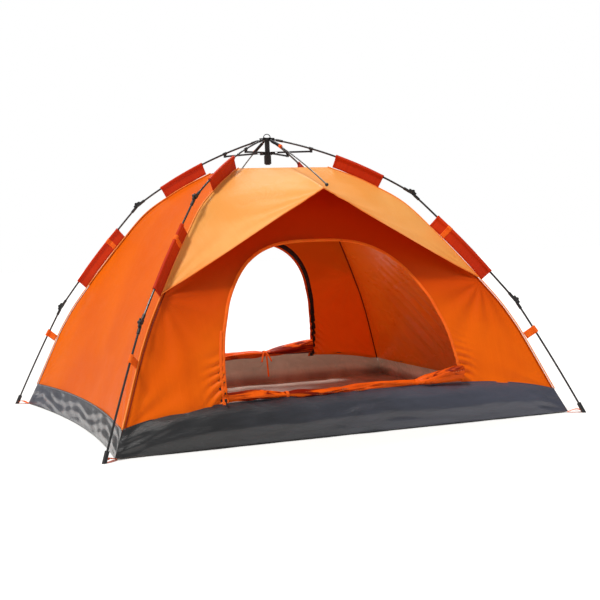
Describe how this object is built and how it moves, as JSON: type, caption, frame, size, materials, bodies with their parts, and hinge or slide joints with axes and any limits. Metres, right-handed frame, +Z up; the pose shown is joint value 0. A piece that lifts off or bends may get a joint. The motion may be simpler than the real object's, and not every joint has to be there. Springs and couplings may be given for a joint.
{
  "type": "dome tent",
  "caption": "Automatic pop-up dome tent with an umbrella hub, folding jointed legs, an inner canopy hung on sleeves, two arched doors under awnings and a tub floor.",
  "frame": {"origin": "middle of the floor, on the ground", "axes": "+X along the front towards the right foot, +Y from the front door to the rear door, +Z up"},
  "size_m": [2.1094, 1.9092, 1.275],
  "materials": {
    "black_rod": "satin",
    "black_nylon": "satin",
    "steel_pins": "satin",
    "spring_steel": "satin",
    "canopy_fabric": "satin",
    "awning_fabric": "satin",
    "door_wall_fabric": "satin",
    "tub_fabric": "satin",
    "floor_fabric": "satin",
    "sleeve_fabric": "matte",
    "webbing": "matte",
    "zip_metal": "satin"
  },
  "bodies": {
    "root": {"hub_cap": "black_nylon", "hub_post": "black_nylon", "hinge_pins": "steel_pins", "roof_panel": "canopy_fabric", "left_wall": "canopy_fabric", "right_wall": "canopy_fabric", "front_wall": "door_wall_fabric", "rear_wall": "door_wall_fabric", "front_awning": "awning_fabric", "rear_awning": "awning_fabric", "groundsheet": "floor_fabric", "tub_skirt": "tub_fabric", "front_door_roll": "door_wall_fabric", "rear_door_roll": "door_wall_fabric", "upper_sleeves": "sleeve_fabric", "middle_sleeves": "sleeve_fabric", "lower_straps": "webbing", "corner_tabs": "webbing"},
    "front_left_upper": {"front_left_upper_pole": "black_rod", "front_left_upper_fittings": "black_nylon"},
    "front_left_middle": {"front_left_middle_pole": "black_rod", "front_left_middle_fittings": "black_nylon"},
    "front_left_lower": {"front_left_lower_pole": "black_rod", "front_left_lower_fitting": "black_nylon", "front_left_foot": "black_nylon"},
    "front_left_strut_bar": {"front_left_strut": "black_nylon"},
    "front_right_upper": {"front_right_upper_pole": "black_rod", "front_right_upper_fittings": "black_nylon"},
    "front_right_middle": {"front_right_middle_pole": "black_rod", "front_right_middle_fittings": "black_nylon"},
    "front_right_lower": {"front_right_lower_pole": "black_rod", "front_right_lower_fitting": "black_nylon", "front_right_foot": "black_nylon"},
    "front_right_strut_bar": {"front_right_strut": "black_nylon"},
    "rear_left_upper": {"rear_left_upper_pole": "black_rod", "rear_left_upper_fittings": "black_nylon"},
    "rear_left_middle": {"rear_left_middle_pole": "black_rod", "rear_left_middle_fittings": "black_nylon"},
    "rear_left_lower": {"rear_left_lower_pole": "black_rod", "rear_left_lower_fitting": "black_nylon", "rear_left_foot": "black_nylon"},
    "rear_left_strut_bar": {"rear_left_strut": "black_nylon"},
    "rear_right_upper": {"rear_right_upper_pole": "black_rod", "rear_right_upper_fittings": "black_nylon"},
    "rear_right_middle": {"rear_right_middle_pole": "black_rod", "rear_right_middle_fittings": "black_nylon"},
    "rear_right_lower": {"rear_right_lower_pole": "black_rod", "rear_right_lower_fitting": "black_nylon", "rear_right_foot": "black_nylon"},
    "rear_right_strut_bar": {"rear_right_strut": "black_nylon"},
    "front_brow": {"front_brow_pole": "black_rod", "front_brow_spring": "spring_steel", "front_brow_ball": "black_nylon"},
    "rear_brow": {"rear_brow_pole": "black_rod", "rear_brow_spring": "spring_steel", "rear_brow_ball": "black_nylon"},
    "runner": {"runner": "black_nylon"},
    "pull_ring": {"pull_ring": "black_nylon"},
    "front_zip": {"front_zip_slider": "zip_metal"},
    "rear_zip": {"rear_zip_slider": "zip_metal"}
  },
  "joints": [
    {"name": "frame_fold", "type": "hinge", "parent": "root", "child": "front_left_upper", "pos_m": [-0.02225, -0.02012, 1.247], "axis": [0.6707, -0.7417, 0], "range_deg": [0, 45], "deforming": ["left_wall", "right_wall", "front_wall", "rear_wall", "front_awning", "rear_awning", "roof_panel", "groundsheet", "tub_skirt", "upper_sleeves", "middle_sleeves", "lower_straps", "corner_tabs"]},
    {"name": "upper_elbow_fold", "type": "hinge", "parent": "front_left_upper", "child": "front_left_middle", "pos_m": [-0.50971, -0.46094, 0.97883], "axis": [-0.6707, 0.7417, 0], "range_deg": [0, 150], "deforming": ["left_wall", "right_wall", "front_wall", "rear_wall", "front_awning", "rear_awning", "roof_panel", "groundsheet", "tub_skirt", "upper_sleeves", "middle_sleeves", "lower_straps", "corner_tabs"]},
    {"name": "lower_elbow_fold", "type": "hinge", "parent": "front_left_middle", "child": "front_left_lower", "pos_m": [-0.84266, -0.76202, 0.49185], "axis": [-0.6707, 0.7417, 0], "range_deg": [0, 186], "deforming": ["left_wall", "right_wall", "front_wall", "rear_wall", "front_awning", "rear_awning", "roof_panel", "groundsheet", "tub_skirt", "upper_sleeves", "middle_sleeves", "lower_straps", "corner_tabs"]},
    {"name": "front_left_strut_hinge", "type": "hinge", "parent": "front_left_upper", "child": "front_left_strut_bar", "pos_m": [-0.15845, -0.14329, 1.18175], "axis": [0.6707, -0.7417, 0], "range_deg": [0, 14.77]},
    {"name": "front_right_hub_hinge", "type": "hinge", "parent": "root", "child": "front_right_upper", "pos_m": [0.02225, -0.02012, 1.247], "axis": [0.6707, 0.7417, 0], "range_deg": [0, 45]},
    {"name": "front_right_upper_elbow", "type": "hinge", "parent": "front_right_upper", "child": "front_right_middle", "pos_m": [0.50971, -0.46094, 0.97883], "axis": [-0.6707, -0.7417, 0], "range_deg": [0, 150]},
    {"name": "front_right_lower_elbow", "type": "hinge", "parent": "front_right_middle", "child": "front_right_lower", "pos_m": [0.84266, -0.76202, 0.49185], "axis": [-0.6707, -0.7417, 0], "range_deg": [0, 186]},
    {"name": "front_right_strut_hinge", "type": "hinge", "parent": "front_right_upper", "child": "front_right_strut_bar", "pos_m": [0.15845, -0.14329, 1.18175], "axis": [0.6707, 0.7417, 0], "range_deg": [0, 14.77]},
    {"name": "rear_left_hub_hinge", "type": "hinge", "parent": "root", "child": "rear_left_upper", "pos_m": [-0.02225, 0.02012, 1.247], "axis": [-0.6707, -0.7417, 0], "range_deg": [0, 45]},
    {"name": "rear_left_upper_elbow", "type": "hinge", "parent": "rear_left_upper", "child": "rear_left_middle", "pos_m": [-0.50971, 0.46094, 0.97883], "axis": [0.6707, 0.7417, 0], "range_deg": [0, 150]},
    {"name": "rear_left_lower_elbow", "type": "hinge", "parent": "rear_left_middle", "child": "rear_left_lower", "pos_m": [-0.84266, 0.76202, 0.49185], "axis": [0.6707, 0.7417, 0], "range_deg": [0, 186]},
    {"name": "rear_left_strut_hinge", "type": "hinge", "parent": "rear_left_upper", "child": "rear_left_strut_bar", "pos_m": [-0.15845, 0.14329, 1.18175], "axis": [-0.6707, -0.7417, 0], "range_deg": [0, 14.77]},
    {"name": "rear_right_hub_hinge", "type": "hinge", "parent": "root", "child": "rear_right_upper", "pos_m": [0.02225, 0.02012, 1.247], "axis": [-0.6707, 0.7417, 0], "range_deg": [0, 45]},
    {"name": "rear_right_upper_elbow", "type": "hinge", "parent": "rear_right_upper", "child": "rear_right_middle", "pos_m": [0.50971, 0.46094, 0.97883], "axis": [0.6707, -0.7417, 0], "range_deg": [0, 150]},
    {"name": "rear_right_lower_elbow", "type": "hinge", "parent": "rear_right_middle", "child": "rear_right_lower", "pos_m": [0.84266, 0.76202, 0.49185], "axis": [0.6707, -0.7417, 0], "range_deg": [0, 186]},
    {"name": "rear_right_strut_hinge", "type": "hinge", "parent": "rear_right_upper", "child": "rear_right_strut_bar", "pos_m": [0.15845, 0.14329, 1.18175], "axis": [-0.6707, 0.7417, 0], "range_deg": [0, 14.77]},
    {"name": "front_brow_hinge", "type": "hinge", "parent": "root", "child": "front_brow", "pos_m": [0, -0.03, 1.247], "axis": [1, 0, 0], "range_deg": [0, 45]},
    {"name": "rear_brow_hinge", "type": "hinge", "parent": "root", "child": "rear_brow", "pos_m": [0, 0.03, 1.247], "axis": [-1, 0, 0], "range_deg": [0, 45]},
    {"name": "runner_slide", "type": "slide", "parent": "root", "child": "runner", "axis": [0, 0, 1], "range_m": [0, 0.0341]},
    {"name": "pull_ring_swing", "type": "hinge", "parent": "root", "child": "pull_ring", "pos_m": [0, 0, 1.256], "axis": [1, 0, 0], "range_deg": [-75, 75]},
    {"name": "front_zip_slide", "type": "slide", "parent": "root", "child": "front_zip", "axis": [0.1113, 0.3675, 0.9234], "range_m": [0, 0.24]},
    {"name": "rear_zip_slide", "type": "slide", "parent": "root", "child": "rear_zip", "axis": [-0.1113, -0.3675, 0.9234], "range_m": [0, 0.24]}
  ],
  "couplings": [
    {"joint": "front_left_strut_hinge", "follows": "frame_fold", "ratio": 0.32808},
    {"joint": "front_right_hub_hinge", "follows": "frame_fold", "ratio": 1},
    {"joint": "front_right_upper_elbow", "follows": "upper_elbow_fold", "ratio": 1},
    {"joint": "front_right_lower_elbow", "follows": "lower_elbow_fold", "ratio": 1},
    {"joint": "front_right_strut_hinge", "follows": "frame_fold", "ratio": 0.32808},
    {"joint": "rear_left_hub_hinge", "follows": "frame_fold", "ratio": 1},
    {"joint": "rear_left_upper_elbow", "follows": "upper_elbow_fold", "ratio": 1},
    {"joint": "rear_left_lower_elbow", "follows": "lower_elbow_fold", "ratio": 1},
    {"joint": "rear_left_strut_hinge", "follows": "frame_fold", "ratio": 0.32808},
    {"joint": "rear_right_hub_hinge", "follows": "frame_fold", "ratio": 1},
    {"joint": "rear_right_upper_elbow", "follows": "upper_elbow_fold", "ratio": 1},
    {"joint": "rear_right_lower_elbow", "follows": "lower_elbow_fold", "ratio": 1},
    {"joint": "rear_right_strut_hinge", "follows": "frame_fold", "ratio": 0.32808},
    {"joint": "front_brow_hinge", "follows": "frame_fold", "ratio": 1},
    {"joint": "rear_brow_hinge", "follows": "frame_fold", "ratio": 1},
    {"joint": "runner_slide", "follows": "frame_fold", "m_per_rad": 0.04329}
  ]
}
